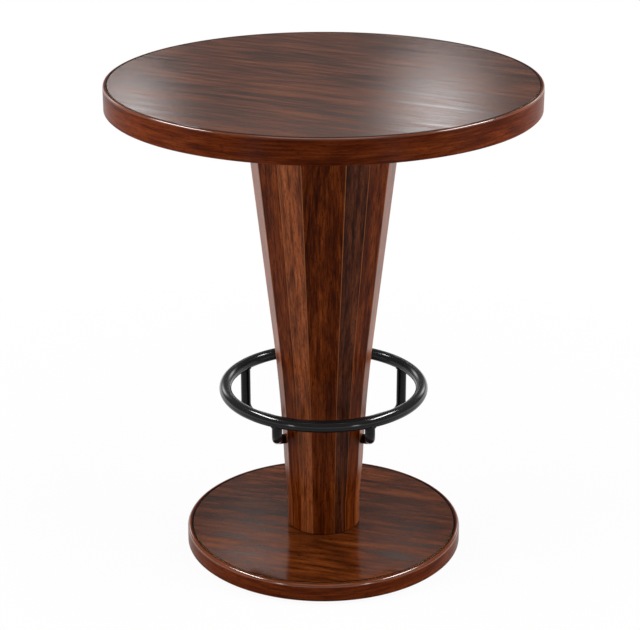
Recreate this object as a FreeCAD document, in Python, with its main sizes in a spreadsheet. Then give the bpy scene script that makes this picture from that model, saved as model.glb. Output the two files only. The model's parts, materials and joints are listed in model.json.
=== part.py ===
import FreeCAD, Part
import os
from math import atan2, cos, degrees, pi, radians, sin, tan

import Sketcher
from FreeCAD import Placement, Rotation, Vector

# A bar-height pedestal table. The origin is on the floor, on the table's axis, and -Y is the front.

# Driving sizes, in millimetres
SIZES = {
    # whole table
    "overall_height": "1067",
    "leveller_gap": "6",
    "glue_line": "0.1",
    "veneer_thickness": "1",
    "overrun": "5",
    # tabletop and base
    "top_radius": "457",
    "top_edge_height": "53",
    "top_edge_round": "4",
    "top_band_thickness": "9",
    "base_radius": "308",
    "base_edge_height": "40",
    "base_edge_round": "7",
    "base_band_thickness": "12",
    "base_lower_thickness": "19",
    "underside_bevel": "2",
    "quirk": "2",
    # column
    "column_foot_radius": "85.5",
    "column_top_radius": "169.4",
    "sweep_rise": "460",
    "foot_turning_height": "110",
    "foot_turning_depth": "0.5",
    "foot_turning_flare": "2.5",
    "stave_foot_wall": "32",
    "stave_top_wall": "32",
    "block_fit": "0.2",
    "foot_block_height": "40",
    "mid_block_margin": "30",
    "former_height": "700",
    "former_thickness": "18",
    # foot ring and its brackets
    "ring_radius": "217",
    "ring_height": "374",
    "ring_tube_radius": "13.35",
    "ring_wall": "2",
    "bracket_radius": "11",
    "bracket_bend_radius": "22",
    "bracket_end_inset": "10",
    "run_height": "256",
    "front_elbow_height": "336",
    "front_elbow_reach": "40",
    "bolt_radius": "5",
    "bolt_length": "63",
    "bolt_embed": "32",
    "bolt_clearance": "0.1",
    # fixing of the top
    "cleat_thickness": "30",
    "flange_margin": "24.5",
    "flange_thickness": "6",
    "boss_radius": "14",
    "boss_length": "20",
    "rod_radius": "6",
    "rod_clearance": "0.5",
    "rod_thread_play": "0.05",
    "nut_radius": "11",
    "nut_height": "6",
    "nut_recess": "1",
    "washer_radius": "12",
    "washer_thickness": "2.5",
    # wood screws and dowels
    "screw_radius": "3",
    "screw_clearance": "0.1",
    "screw_end_room": "1",
    "screw_head_radius": "5.5",
    "screw_head_height": "4",
    "screw_head_recess": "1",
    "flange_screw_inset": "20",
    "flange_screw_length": "45",
    "cleat_screw_inset": "30",
    "cleat_screw_length": "50",
    "ballast_screw_inset": "60",
    "ballast_screw_length": "28",
    "dowel_radius": "6",
    "dowel_length": "36",
    "dowel_depth": "16",
    "dowel_inset": "17",
    # ballast
    "ballast_inset": "128",
    "ballast_clearance": "1",
    "recess_clearance": "3",
    # levelling glides
    "leveller_inset": "58",
    "insert_radius": "7",
    "insert_length": "18",
    "insert_flange_radius": "11",
    "insert_flange_thickness": "1.5",
    "stem_radius": "4.95",
    "stem_length": "36",
    "stem_head_radius": "8",
    "stem_head_thickness": "2",
    "thread_play": "0.05",
    "pad_radius": "16",
    "pad_bevel": "1",
    "pad_floor": "2",
    "pad_gap": "0.2",
}

# Widths of the staves as shares of the whole turn, from the front one round by the right
STAVE_WIDTH_SHARES = (34, 20, 23, 30, 24, 22, 27, 34, 27, 22, 24, 30, 23, 20)
FRONT_ANGLE = -90
FULL_TURN = 360
SCREW_COUNT = 6
DOWEL_COUNT = 3
LEVELLER_COUNT = 4
LEVELLER_START = 45
HEX_SIDES = 6

# Each ring bracket with the stave that carries it. A front post stands nearer to the front than its stave,
# at the angle given here, and a rear post stands straight out from its stave.
FRONT_POST_ANGLE = 27
BRACKETS = (
    ("ring_bracket_front_right", "stave_04", FRONT_ANGLE + FRONT_POST_ANGLE),
    ("ring_bracket_rear_right", "stave_06", None),
    ("ring_bracket_rear_left", "stave_10", None),
    ("ring_bracket_front_left", "stave_12", FRONT_ANGLE - FRONT_POST_ANGLE),
)

# Sketch axes and the points of a sketch edge, by the index that the sketcher gives them
H_AXIS_INDEX, V_AXIS_INDEX = -1, -2
START_INDEX, END_INDEX, CENTRE_INDEX = 1, 2, 3

doc = FreeCAD.newDocument("pub_table")
sheet = doc.addObject("Spreadsheet::Sheet", "Sizes")
for row, (alias, text) in enumerate(SIZES.items(), start=1):
    sheet.set(f"A{row}", alias)
    sheet.set(f"B{row}", text)
    sheet.setAlias(f"B{row}", alias)
doc.recompute()

nodes = []

# Heights above the floor that several pieces share
base_bottom = "Sizes.leveller_gap"
base_joint = f"({base_bottom} + Sizes.base_lower_thickness)"
base_top = f"({base_bottom} + Sizes.base_edge_height)"
base_panel_underside = f"({base_top} - Sizes.veneer_thickness)"
top_underside = "(Sizes.overall_height - Sizes.top_edge_height)"
top_core_bottom = f"({top_underside} + Sizes.veneer_thickness)"
top_core_top = "(Sizes.overall_height - Sizes.veneer_thickness)"
top_joint = f"(({top_core_bottom} + {top_core_top}) / 2)"
cleat_bottom = f"({top_underside} - Sizes.cleat_thickness)"
flange_bottom = f"({cleat_bottom} - Sizes.flange_thickness)"
nut_bottom = f"({base_bottom} + Sizes.nut_recess)"
washer_bottom = f"({nut_bottom} + Sizes.nut_height)"
washer_top = f"({washer_bottom} + Sizes.washer_thickness)"
ballast_screw_seat = f"({base_bottom} + Sizes.screw_head_recess + Sizes.screw_head_height)"

# Radii that several pieces share
base_band_bore = "(Sizes.base_radius - Sizes.base_band_thickness)"
top_band_bore = "(Sizes.top_radius - Sizes.top_band_thickness)"
base_panel_radius = f"({base_band_bore} - Sizes.glue_line)"
top_panel_radius = f"({top_band_bore} - Sizes.glue_line)"
leveller_pitch = "(Sizes.base_radius - Sizes.leveller_inset)"
ballast_radius = "(Sizes.base_radius - Sizes.ballast_inset)"
ballast_screw_pitch = f"({ballast_radius} - Sizes.ballast_screw_inset)"
rod_bore = "(Sizes.rod_radius + Sizes.rod_clearance)"
screw_bore = "(Sizes.screw_radius + Sizes.screw_clearance)"
dowel_bore = "(Sizes.dowel_radius + Sizes.glue_line)"
stem_bore = "(Sizes.stem_radius + Sizes.thread_play)"
insert_bore = "(Sizes.insert_radius + Sizes.glue_line)"

# The hollow of the column is a straight cone between its foot and its top
widest_half_angle = max(STAVE_WIDTH_SHARES) / sum(STAVE_WIDTH_SHARES) * FULL_TURN / 2
foot_flat = f"(Sizes.column_foot_radius * cos({widest_half_angle} deg))"
turned_foot_radius = f"({foot_flat} - Sizes.foot_turning_depth)"
hollow_foot = f"({turned_foot_radius} - Sizes.stave_foot_wall)"
hollow_top = f"(Sizes.column_top_radius * cos({widest_half_angle} deg) - Sizes.stave_top_wall)"
dowel_pitch = f"({hollow_foot} - Sizes.dowel_inset)"
cleat_screw_pitch = f"({hollow_top} - Sizes.cleat_screw_inset)"
flange_radius = f"({cleat_screw_pitch} - Sizes.screw_head_radius - Sizes.flange_margin)"
flange_screw_pitch = f"({flange_radius} - Sizes.flange_screw_inset)"


def hollow_radius_at(height):
    risen = f"(({height} - {base_top}) / ({top_underside} - {base_top}))"
    return f"({hollow_foot} + ({hollow_top} - {hollow_foot}) * {risen})"


# Small helpers for sketches and features


def value(expression):
    return float(sheet.evalExpression(expression))


def bind(thing, **expressions):
    for name, expression in expressions.items():
        thing.setExpression(name, expression)


def keep(thing, label):
    thing.Label = label
    nodes.append(thing)
    return thing


def make_body(name):
    return doc.addObject("PartDesign::Body", name)


def origin_feature(body, role):
    return next(feature for feature in body.Origin.OriginFeatures if feature.Role == role)


def make_sketch(body, name, plane, height=None):
    sketch = body.newObject("Sketcher::SketchObject", name)
    sketch.AttachmentSupport = [(origin_feature(body, plane), "")]
    sketch.MapMode = "FlatFace"
    if height:
        sketch.setExpression("AttachmentOffset.Base.z", height)
    return sketch


def bind_constraint(sketch, expression, kind, *places):
    index = sketch.addConstraint(Sketcher.Constraint(kind, *places, value(expression)))
    sketch.setExpression(f"Constraints[{index}]", expression)


def fix_point(sketch, edge, end, x, y):
    for kind, axis, expression in (("DistanceX", V_AXIS_INDEX, x), ("DistanceY", H_AXIS_INDEX, y)):
        if expression == "0":
            sketch.addConstraint(Sketcher.Constraint("PointOnObject", edge, end, axis))
        else:
            bind_constraint(sketch, expression, kind, H_AXIS_INDEX, START_INDEX, edge, end)


def point_at(x, y):
    return Vector(value(x), value(y), 0)


def draw_outline(sketch, corners):
    points = [point_at(x, y) for x, y in corners]
    first = sketch.GeometryCount
    following = points[1:] + points[:1]
    for begin, finish in zip(points, following):
        sketch.addGeometry(Part.LineSegment(begin, finish), False)
    for place, (x, y) in enumerate(corners):
        after = first + (place + 1) % len(corners)
        edge = first + place
        sketch.addConstraint(Sketcher.Constraint("Coincident", edge, END_INDEX, after, START_INDEX))
        fix_point(sketch, edge, START_INDEX, x, y)


def turned_body(name, corners):
    """A closed outline of (radius, height) corners, revolved about the table's axis."""
    body = make_body(name)
    sketch = make_sketch(body, name + "_outline", "XZ_Plane")
    draw_outline(sketch, corners)
    turned = body.newObject("PartDesign::Revolution", name + "_turned")
    turned.Profile = sketch
    turned.ReferenceAxis = (sketch, ["V_Axis"])
    turned.Angle = FULL_TURN
    doc.recompute()
    return body


def disc(name, radius, lower, upper, bore):
    return turned_body(name, [(bore, lower), (radius, lower), (radius, upper), (bore, upper)])


def repeat_round(body, feature, count):
    pattern = body.newObject("PartDesign::PolarPattern", feature.Name + "_pattern")
    pattern.Originals = [feature]
    pattern.Axis = (origin_feature(body, "Z_Axis"), [""])
    pattern.Angle = FULL_TURN
    pattern.Occurrences = count
    body.Tip = pattern
    doc.recompute()


def turned_group(name, pitch, corners, count):
    """The same turned piece set several times round the table's axis, as separate solids."""
    body = make_body(name)
    sketch = make_sketch(body, name + "_outline", "XZ_Plane")
    shifted = [(f"{pitch} + {radius}", height) for radius, height in corners]
    draw_outline(sketch, shifted)
    axis = sketch.addGeometry(
        Part.LineSegment(point_at(pitch, corners[0][1]), point_at(pitch, corners[-1][1])), True
    )
    fix_point(sketch, axis, START_INDEX, pitch, corners[0][1])
    fix_point(sketch, axis, END_INDEX, pitch, corners[-1][1])
    turned = body.newObject("PartDesign::Revolution", name + "_turned")
    turned.Profile = sketch
    turned.ReferenceAxis = (sketch, ["Axis0"])
    turned.Angle = FULL_TURN
    doc.recompute()
    repeat_round(body, turned, count)
    return body


def drill(body, name, pitch, radius, lower, upper, count, start_angle=0):
    """Upright round holes from one height to another, set evenly round the table's axis."""
    before = body.Shape.Volume
    sketch = make_sketch(body, f"{body.Name}_{name}", "XY_Plane", upper)
    x = f"{pitch} * cos({start_angle} deg)"
    y = f"{pitch} * sin({start_angle} deg)" if start_angle else "0"
    sketch.addGeometry(Part.Circle(point_at(x, y), Vector(0, 0, 1), value(radius)), False)
    fix_point(sketch, 0, CENTRE_INDEX, x, y)
    bind_constraint(sketch, radius, "Radius", 0)
    pocket = body.newObject("PartDesign::Pocket", f"{body.Name}_{name}_holes")
    pocket.Profile = sketch
    bind(pocket, Length=f"{upper} - {lower}")
    doc.recompute()
    repeat_round(body, pocket, count)
    assert body.Shape.Volume < before, f"{name} cut nothing"


def soften(body, kind, radius, height, amount):
    """A fillet or a chamfer on the round edge at this radius and height."""
    base = body.Tip
    near = value("Sizes.glue_line")
    names = []
    for number, edge in enumerate(base.Shape.Edges, start=1):
        curve = edge.Curve
        if not isinstance(curve, Part.Circle):
            continue
        if abs(curve.Radius - value(radius)) < near and abs(curve.Center.z - value(height)) < near:
            names.append(f"Edge{number}")
    feature = body.newObject("PartDesign::" + kind, f"{body.Name}_{kind.lower()}")
    feature.Base = (base, names)
    bind(feature, **{"Radius" if kind == "Fillet" else "Size": amount})
    doc.recompute()


def cut(name, base, tool):
    result = doc.addObject("Part::Cut", name)
    result.Base = base
    result.Tool = tool
    doc.recompute()
    return result


def cylinder(name, radius, height, lower="0"):
    solid = doc.addObject("Part::Cylinder", name)
    bind(solid, Radius=radius, Height=height)
    if lower != "0":
        solid.setExpression("Placement.Base.z", lower)
    doc.recompute()
    return solid


def around(angle):
    return Placement(Vector(0, 0, 0), Rotation(Vector(0, 0, 1), angle))


def outward(angle):
    return Vector(cos(radians(angle)), sin(radians(angle)), 0)


# Edge bands: a solid ring, rounded above, with a quirk where the veneered panel meets it


def edge_band(name, radius, bore, lower, upper, rounding):
    band = disc(name, radius, lower, upper, bore)
    soften(band, "Fillet", radius, upper, rounding)
    soften(band, "Chamfer", bore, upper, "Sizes.quirk")
    soften(band, "Chamfer", radius, lower, "Sizes.underside_bevel")
    return keep(band, name)


edge_band(
    "base_edge_band", "Sizes.base_radius", base_band_bore, base_bottom, base_top, "Sizes.base_edge_round"
)
edge_band(
    "top_edge_band", "Sizes.top_radius", top_band_bore, top_underside, "Sizes.overall_height",
    "Sizes.top_edge_round",
)

# Base panel: a lower layer round the ballast, an upper layer, and the veneer

dowel_bottom = f"({base_top} - Sizes.dowel_depth)"
dowel_top = f"({dowel_bottom} + Sizes.dowel_length)"
ballast_screw_tip = f"({ballast_screw_seat} + Sizes.ballast_screw_length)"
stem_top = "(Sizes.pad_floor + Sizes.stem_length)"

base_lower = disc(
    "base_core_lower", base_panel_radius, base_bottom, base_joint,
    f"({ballast_radius} + Sizes.ballast_clearance)",
)
drill(
    base_lower, "insert", leveller_pitch, insert_bore, base_bottom, base_joint,
    LEVELLER_COUNT, LEVELLER_START,
)
drill(
    base_lower, "insert_flange", leveller_pitch, "(Sizes.insert_flange_radius + Sizes.glue_line)",
    base_bottom, f"({base_bottom} + Sizes.insert_flange_thickness)", LEVELLER_COUNT, LEVELLER_START,
)
keep(base_lower, "base_core_lower")

base_upper = disc("base_core_upper", base_panel_radius, base_joint, base_panel_underside, rod_bore)
drill(
    base_upper, "ballast_screw", ballast_screw_pitch, screw_bore, base_joint,
    f"({ballast_screw_tip} + Sizes.screw_end_room)", SCREW_COUNT,
)
drill(
    base_upper, "stem", leveller_pitch, "(Sizes.stem_radius + Sizes.rod_clearance)", base_joint,
    f"({stem_top} + Sizes.screw_end_room)", LEVELLER_COUNT, LEVELLER_START,
)
drill(
    base_upper, "dowel", dowel_pitch, dowel_bore, dowel_bottom, base_panel_underside, DOWEL_COUNT
)
keep(base_upper, "base_core_upper")

base_veneer = disc("base_veneer", base_panel_radius, base_panel_underside, base_top, rod_bore)
drill(base_veneer, "dowel", dowel_pitch, dowel_bore, base_panel_underside, base_top, DOWEL_COUNT)
keep(base_veneer, "base_veneer")

# Ballast: a heavy plate let in flush under the base, with the tie rod's nut sunk in it

nut_pocket_radius = "(Sizes.washer_radius + Sizes.recess_clearance)"
ballast = turned_body(
    "ballast_plate",
    [
        (nut_pocket_radius, base_bottom),
        (ballast_radius, base_bottom),
        (ballast_radius, base_joint),
        (rod_bore, base_joint),
        (rod_bore, washer_top),
        (nut_pocket_radius, washer_top),
    ],
)
drill(ballast, "screw", ballast_screw_pitch, screw_bore, base_bottom, base_joint, SCREW_COUNT)
drill(
    ballast, "screw_head", ballast_screw_pitch, "(Sizes.screw_head_radius + Sizes.recess_clearance)",
    base_bottom, ballast_screw_seat, SCREW_COUNT,
)
keep(ballast, "ballast_plate")

# Tabletop panel: two core layers between the top veneer and the backing veneer

flange_screw_tip = f"({flange_bottom} + Sizes.flange_screw_length)"
cleat_screw_tip = f"({cleat_bottom} + Sizes.cleat_screw_length)"
flange_hole_end = f"({flange_screw_tip} + Sizes.screw_end_room)"
cleat_hole_end = f"({cleat_screw_tip} + Sizes.screw_end_room)"


def round_panel(name, lower, upper):
    body = make_body(name)
    sketch = make_sketch(body, name + "_outline", "XY_Plane", lower)
    sketch.addGeometry(Part.Circle(Vector(0, 0, 0), Vector(0, 0, 1), value(top_panel_radius)), False)
    fix_point(sketch, 0, CENTRE_INDEX, "0", "0")
    bind_constraint(sketch, top_panel_radius, "Radius", 0)
    pad = body.newObject("PartDesign::Pad", name + "_pad")
    pad.Profile = sketch
    bind(pad, Length=f"{upper} - {lower}")
    doc.recompute()
    return keep(body, name)


round_panel("top_veneer", top_core_top, "Sizes.overall_height")
round_panel("top_core_upper", top_joint, top_core_top)
top_lower = round_panel("top_core_lower", top_core_bottom, top_joint)
top_backer = round_panel("top_backer", top_underside, top_core_bottom)
drill(
    top_lower, "flange_screw", flange_screw_pitch, screw_bore, top_core_bottom, flange_hole_end,
    SCREW_COUNT,
)
drill(
    top_lower, "cleat_screw", cleat_screw_pitch, screw_bore, top_core_bottom, cleat_hole_end,
    SCREW_COUNT,
)
for name, pitch in (("flange_screw", flange_screw_pitch), ("cleat_screw", cleat_screw_pitch)):
    drill(top_backer, name, pitch, screw_bore, top_underside, top_core_bottom, SCREW_COUNT)

# Blocks inside the column: each is a slice of the hollow's cone, bored for the tie rod


def tapered_block(name, lower, upper):
    return turned_body(
        name,
        [
            (rod_bore, lower),
            (f"({hollow_radius_at(lower)} - Sizes.block_fit)", lower),
            (f"({hollow_radius_at(upper)} - Sizes.block_fit)", upper),
            (rod_bore, upper),
        ],
    )


foot_block = tapered_block("column_foot_block", base_top, f"({base_top} + Sizes.foot_block_height)")
drill(foot_block, "dowel", dowel_pitch, dowel_bore, base_top, dowel_top, DOWEL_COUNT)
keep(foot_block, "column_foot_block")

former_top = "(Sizes.former_height + Sizes.former_thickness)"
keep(tapered_block("column_upper_former", "Sizes.former_height", former_top), "column_upper_former")

cleat = tapered_block("top_cleat", cleat_bottom, top_underside)
for name, pitch in (("flange_screw", flange_screw_pitch), ("cleat_screw", cleat_screw_pitch)):
    drill(cleat, name, pitch, screw_bore, cleat_bottom, top_underside, SCREW_COUNT)
keep(cleat, "top_cleat")

mid_block = tapered_block(
    "mid_block_blank",
    "(Sizes.run_height - Sizes.mid_block_margin)",
    "(Sizes.run_height + Sizes.mid_block_margin)",
)

# Flange plate: a steel disc under the cleat, whose threaded boss takes the tie rod

rod_thread_bore = "(Sizes.rod_radius + Sizes.rod_thread_play)"
flange = turned_body(
    "top_flange_plate",
    [
        (rod_thread_bore, f"({flange_bottom} - Sizes.boss_length)"),
        ("Sizes.boss_radius", f"({flange_bottom} - Sizes.boss_length)"),
        ("Sizes.boss_radius", flange_bottom),
        (flange_radius, flange_bottom),
        (flange_radius, cleat_bottom),
        (rod_thread_bore, cleat_bottom),
    ],
)
drill(flange, "screw", flange_screw_pitch, screw_bore, flange_bottom, cleat_bottom, SCREW_COUNT)
keep(flange, "top_flange_plate")

# Screws and dowels, each kind a ring of separate solids


def screw_ring(name, pitch, seat, length):
    under_head = f"({seat} - Sizes.screw_head_height)"
    tip = f"({seat} + {length})"
    corners = [
        ("0", under_head),
        ("Sizes.screw_head_radius", under_head),
        ("Sizes.screw_head_radius", seat),
        ("Sizes.screw_radius", seat),
        ("Sizes.screw_radius", tip),
        ("0", tip),
    ]
    keep(turned_group(name, pitch, corners, SCREW_COUNT), name)


screw_ring("flange_screws", flange_screw_pitch, flange_bottom, "Sizes.flange_screw_length")
screw_ring("cleat_screws", cleat_screw_pitch, cleat_bottom, "Sizes.cleat_screw_length")
screw_ring("ballast_screws", ballast_screw_pitch, ballast_screw_seat, "Sizes.ballast_screw_length")

dowel_corners = [
    ("0", dowel_bottom),
    ("Sizes.dowel_radius", dowel_bottom),
    ("Sizes.dowel_radius", dowel_top),
    ("0", dowel_top),
]
keep(turned_group("locating_dowels", dowel_pitch, dowel_corners, DOWEL_COUNT), "locating_dowels")

# Tie rod with its washer and thin nut

keep(cylinder("tie_rod", "Sizes.rod_radius", f"{cleat_bottom} - {nut_bottom}", nut_bottom), "tie_rod")
keep(disc("tie_rod_washer", "Sizes.washer_radius", washer_bottom, washer_top, rod_bore), "tie_rod_washer")

nut_blank = doc.addObject("Part::Prism", "nut_blank")
nut_blank.Polygon = HEX_SIDES
bind(nut_blank, Circumradius="Sizes.nut_radius", Height="Sizes.nut_height")
nut_blank.setExpression("Placement.Base.z", nut_bottom)
nut_thread = cylinder("nut_thread", rod_thread_bore, f"{washer_top} - {base_bottom}", base_bottom)
keep(cut("tie_rod_nut", nut_blank, nut_thread), "tie_rod_nut")

# Column staves: the outer face is an arc that rises plumb from the foot and runs into a straight taper


def draw_stave_outline(sketch, narrowing):
    """Outline on the stave's middle plane; narrowing is its flat's distance over its arris radius."""
    foot = f"Sizes.column_foot_radius * {narrowing}"
    top = f"Sizes.column_top_radius * {narrowing}"
    sweep_end = f"({base_top} + Sizes.sweep_rise)"
    inner_foot, outer_foot = point_at(hollow_foot, base_top), point_at(foot, base_top)
    outer_top, inner_top = point_at(top, top_underside), point_at(hollow_top, top_underside)

    # The straight taper, carried down, meets the foot's plumb line about halfway up the sweep
    lean = atan2(outer_top.x - outer_foot.x, value(f"{top_underside} - {base_top} - Sizes.sweep_rise / 2"))
    radius = value("Sizes.sweep_rise") / sin(lean)
    centre = outer_foot + Vector(radius, 0, 0)
    touching = centre + Vector(-cos(lean), sin(lean), 0) * radius

    circle = Part.Circle(centre, Vector(0, 0, 1), radius)
    sole = sketch.addGeometry(Part.LineSegment(inner_foot, outer_foot), False)
    sweep = sketch.addGeometry(Part.ArcOfCircle(circle, pi - lean, pi), False)
    taper = sketch.addGeometry(Part.LineSegment(touching, outer_top), False)
    head = sketch.addGeometry(Part.LineSegment(outer_top, inner_top), False)
    inside = sketch.addGeometry(Part.LineSegment(inner_top, inner_foot), False)

    fix_point(sketch, sole, START_INDEX, hollow_foot, base_top)
    fix_point(sketch, sole, END_INDEX, foot, base_top)
    fix_point(sketch, head, START_INDEX, top, top_underside)
    fix_point(sketch, head, END_INDEX, hollow_top, top_underside)
    for first, first_end, second, second_end in (
        (sole, END_INDEX, sweep, END_INDEX),
        (taper, END_INDEX, head, START_INDEX),
        (head, END_INDEX, inside, START_INDEX),
        (inside, END_INDEX, sole, START_INDEX),
    ):
        sketch.addConstraint(Sketcher.Constraint("Coincident", first, first_end, second, second_end))
    sketch.addConstraint(Sketcher.Constraint("Tangent", sweep, START_INDEX, taper, START_INDEX))
    sketch.addConstraint(Sketcher.Constraint("Horizontal", sweep, CENTRE_INDEX, sweep, END_INDEX))
    bind_constraint(sketch, sweep_end, "DistanceY", H_AXIS_INDEX, START_INDEX, sweep, START_INDEX)


def bevel_stave_sides(body, half_angle):
    """Both sides lie in planes through the table's axis, so that neighbours meet face to face."""
    sketch = make_sketch(body, body.Name + "_sides", "XY_Plane")
    near, far = "Sizes.rod_radius", "(Sizes.column_top_radius + Sizes.column_foot_radius)"
    slope = f"tan({half_angle} deg)"
    for side in ("", "-"):
        draw_outline(
            sketch,
            [
                (near, f"{side}{near} * {slope}"),
                (far, f"{side}{far} * {slope}"),
                (far, f"{side}{far}"),
                (near, f"{side}{far}"),
            ],
        )
    sides = body.newObject("PartDesign::Pocket", body.Name + "_bevels")
    sides.Profile = sketch
    sides.Type = "ThroughAll"
    sides.Reversed = True


def turn_stave_foot(body):
    """The foot is turned to a cone, so the facets run out into a round foot."""
    sketch = make_sketch(body, body.Name + "_foot", "XZ_Plane")
    below = f"({base_top} - Sizes.overrun)"
    run_out = f"({base_top} + Sizes.foot_turning_height)"
    outside = "(Sizes.column_foot_radius + Sizes.foot_turning_height)"
    draw_outline(
        sketch,
        [
            (turned_foot_radius, below),
            (turned_foot_radius, base_top),
            ("(Sizes.column_foot_radius + Sizes.foot_turning_flare)", run_out),
            (outside, run_out),
            (outside, below),
        ],
    )
    turning = body.newObject("PartDesign::Groove", body.Name + "_turning")
    turning.Profile = sketch
    turning.ReferenceAxis = (sketch, ["V_Axis"])
    turning.Angle = FULL_TURN


def make_stave(name, half_angle, centre_angle):
    body = make_body(name)
    sketch = make_sketch(body, name + "_outline", "XZ_Plane")
    draw_stave_outline(sketch, f"cos({half_angle} deg)")
    board = body.newObject("PartDesign::Pad", name + "_board")
    board.Profile = sketch
    board.SideType = "Symmetric"
    bind(board, Length="Sizes.column_top_radius + Sizes.column_foot_radius")
    doc.recompute()
    whole = body.Shape.Volume
    bevel_stave_sides(body, half_angle)
    doc.recompute()
    bevelled = body.Shape.Volume
    turn_stave_foot(body)
    doc.recompute()
    assert body.Shape.Volume < bevelled < whole, f"{name} was not cut to shape"
    body.Placement = around(centre_angle)
    return body


degrees_per_share = FULL_TURN / sum(STAVE_WIDTH_SHARES)
staves, stave_angles = {}, {}
edge_angle = FRONT_ANGLE - STAVE_WIDTH_SHARES[0] * degrees_per_share / 2
for number, share in enumerate(STAVE_WIDTH_SHARES, start=1):
    half_angle = share * degrees_per_share / 2
    centre_angle = edge_angle + half_angle
    name = f"stave_{number:02d}"
    staves[name] = make_stave(name + "_board", half_angle, centre_angle)
    stave_angles[name] = centre_angle
    edge_angle = centre_angle + half_angle
doc.recompute()

# Foot ring: a bent tube closed on itself


def torus(name, tube_radius):
    ring = doc.addObject("Part::Torus", name)
    bind(ring, Radius1="Sizes.ring_radius", Radius2=tube_radius)
    ring.setExpression("Placement.Base.z", "Sizes.ring_height")
    doc.recompute()
    return ring


ring_outside = torus("ring_outside", "Sizes.ring_tube_radius")
ring_inside = torus("ring_inside", "(Sizes.ring_tube_radius - Sizes.ring_wall)")
keep(cut("foot_ring", ring_outside, ring_inside), "foot_ring")

# Ring brackets: a bent bar, coped to the ring above and to a stave at its end


def polar_point(radius, angle, height):
    return outward(angle) * value(radius) + Vector(0, 0, value(height))


def straight_length(name, begin, finish):
    bar = doc.addObject("Part::Cylinder", name)
    bind(bar, Radius="Sizes.bracket_radius")
    bar.Height = begin.distanceToPoint(finish)
    bar.Placement = Placement(begin, Rotation(Vector(0, 0, 1), finish - begin))
    return bar


def elbow(name, begin, arriving, leaving):
    """A bend that starts at a point in one direction and ends in another."""
    inward = (leaving - arriving * arriving.dot(leaving)).normalize()
    centre = begin + inward * value("Sizes.bracket_bend_radius")
    bend = doc.addObject("Part::Torus", name)
    bind(bend, Radius1="Sizes.bracket_bend_radius", Radius2="Sizes.bracket_radius")
    bend.Angle3 = degrees(arriving.getAngle(leaving))
    bend.Placement = Placement(centre, Rotation(-inward, arriving, arriving.cross(inward), "XYZ"))
    return bend


def bent_bar(name, corners):
    """A round bar from the first corner to the last, bent to one radius at the corners between."""
    lengths = []
    begin = corners[0]
    for number, (before, corner, after) in enumerate(zip(corners, corners[1:], corners[2:]), start=1):
        arriving, leaving = (corner - before).normalize(), (after - corner).normalize()
        setback = value("Sizes.bracket_bend_radius") * tan(arriving.getAngle(leaving) / 2)
        bend_start = corner - arriving * setback
        lengths.append(straight_length(f"{name}_length_{number}", begin, bend_start))
        lengths.append(elbow(f"{name}_elbow_{number}", bend_start, arriving, leaving))
        begin = corner + leaving * setback
    lengths.append(straight_length(f"{name}_end", begin, corners[-1]))
    bar = doc.addObject("Part::MultiFuse", name)
    bar.Shapes = lengths
    doc.recompute()
    return bar


def run_rod(name, radius, length, inner, angle):
    """A round bar that points straight out from the table's axis, at the height of the runs."""
    rod = cylinder(name, radius, length)
    begin = polar_point(inner, angle, "Sizes.run_height")
    rod.Placement = Placement(begin, Rotation(Vector(0, 0, 1), outward(angle)))
    return rod


hollow_at_run = hollow_radius_at("Sizes.run_height")
run_end = f"({hollow_at_run} + Sizes.bracket_end_inset)"
front_corner = f"({hollow_at_run} + Sizes.front_elbow_reach)"
bolt_inner = f"({hollow_at_run} - Sizes.bolt_embed)"
hole_inner = f"({bolt_inner} - Sizes.bolt_clearance)"
hole_radius = "(Sizes.bolt_radius + Sizes.bolt_clearance)"
hole_length = "(Sizes.bolt_length + Sizes.bolt_clearance + Sizes.bolt_clearance)"

bolts, bolt_holes, drilled = [], [], {}
for name, carrier, front_angle in BRACKETS:
    stave_angle = stave_angles[carrier]
    end_point = polar_point(run_end, stave_angle, "Sizes.run_height")
    if front_angle is None:
        corners = [
            polar_point("Sizes.ring_radius", stave_angle, "Sizes.ring_height"),
            polar_point("Sizes.ring_radius", stave_angle, "Sizes.run_height"),
            end_point,
        ]
    else:
        corners = [
            polar_point("Sizes.ring_radius", front_angle, "Sizes.ring_height"),
            polar_point("Sizes.ring_radius", front_angle, "Sizes.front_elbow_height"),
            polar_point(front_corner, stave_angle, "Sizes.run_height"),
            end_point,
        ]
    stave = staves[carrier]
    bolts.append(run_rod(name + "_bolt", "Sizes.bolt_radius", "Sizes.bolt_length", bolt_inner, stave_angle))
    hole = run_rod(name + "_hole", hole_radius, hole_length, hole_inner, stave_angle)
    bolt_holes.append(hole)
    bar = bent_bar(name + "_bar", corners)
    coped = cut(name + "_coped", cut(name + "_saddle", bar, ring_outside), stave)
    keep(cut(name, coped, hole), name)
    drilled[carrier] = cut(carrier, stave, hole)

for name, stave in staves.items():
    keep(drilled.get(name, stave), name)

hanger_bolts = doc.addObject("Part::Compound", "hanger_bolts")
hanger_bolts.Links = bolts
keep(hanger_bolts, "hanger_bolts")

all_holes = doc.addObject("Part::Compound", "bolt_holes")
all_holes.Links = bolt_holes
doc.recompute()
keep(cut("column_mid_block", mid_block, all_holes), "column_mid_block")

# Levelling glides: a threaded insert in the base, and a stem moulded into a pad that screws in it

insert_top = f"({base_bottom} + Sizes.insert_length)"
insert_flange_top = f"({base_bottom} + Sizes.insert_flange_thickness)"
inserts = turned_group(
    "threaded_inserts",
    leveller_pitch,
    [
        (stem_bore, base_bottom),
        ("Sizes.insert_flange_radius", base_bottom),
        ("Sizes.insert_flange_radius", insert_flange_top),
        ("Sizes.insert_radius", insert_flange_top),
        ("Sizes.insert_radius", insert_top),
        (stem_bore, insert_top),
    ],
    LEVELLER_COUNT,
)
inserts.Placement = around(LEVELLER_START)
keep(inserts, "threaded_inserts")

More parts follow.
